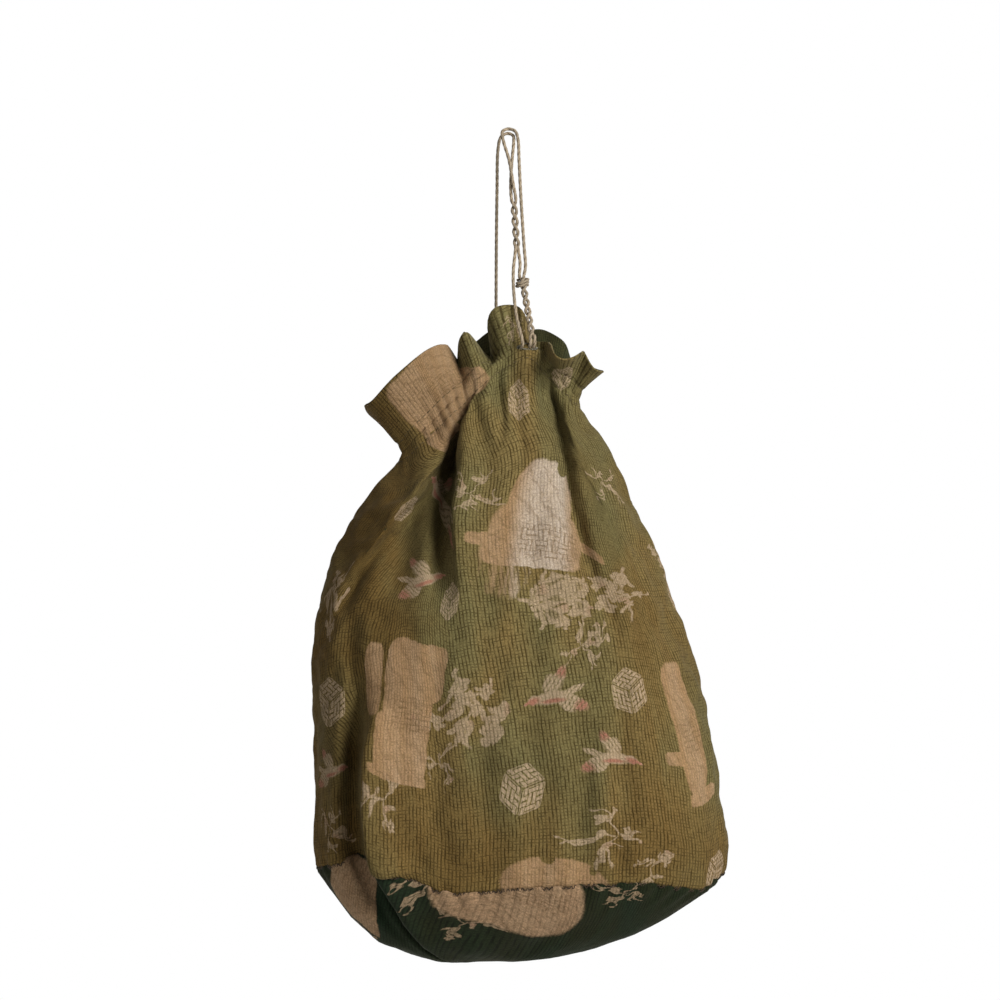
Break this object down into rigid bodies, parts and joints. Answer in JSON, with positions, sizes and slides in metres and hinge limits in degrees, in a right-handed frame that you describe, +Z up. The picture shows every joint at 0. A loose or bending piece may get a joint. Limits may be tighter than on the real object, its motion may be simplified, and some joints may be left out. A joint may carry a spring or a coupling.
{
  "type": "drawstring pouch",
  "caption": "Cloth drawstring pouch of faded green printed kimono cloth with a darker base, drawn shut at a frilled mouth and hanging from two knotted hemp cords.",
  "frame": {"origin": "the place inside the tops of the two cord loops where a hook or peg carries the pouch", "axes": "+Z up, +X to the right seen from the printed front, the front faces -Y"},
  "size_m": [0.2484, 0.1329, 0.5],
  "materials": {
    "printed_cloth": "matt woven cloth, faded olive green with pale tan print",
    "base_cloth": "matt woven cloth, dark green with tan print",
    "dark_thread": "matt dark brown thread",
    "sewing_thread": "matt olive brown thread",
    "hemp_cord": "matt two-ply hemp cord, grey tan"
  },
  "bodies": {
    "root": {"bag_cloth": "printed_cloth", "base_cloth": "base_cloth", "base_seam_thread": "dark_thread", "casing_thread_upper": "sewing_thread", "casing_thread_lower": "sewing_thread", "closing_seam_thread": "sewing_thread", "front_slit_thread": "dark_thread", "back_slit_thread": "dark_thread", "long_drawstring": "hemp_cord", "knotted_drawstring": "hemp_cord", "cord_knot": "hemp_cord"}
  },
  "joints": []
}
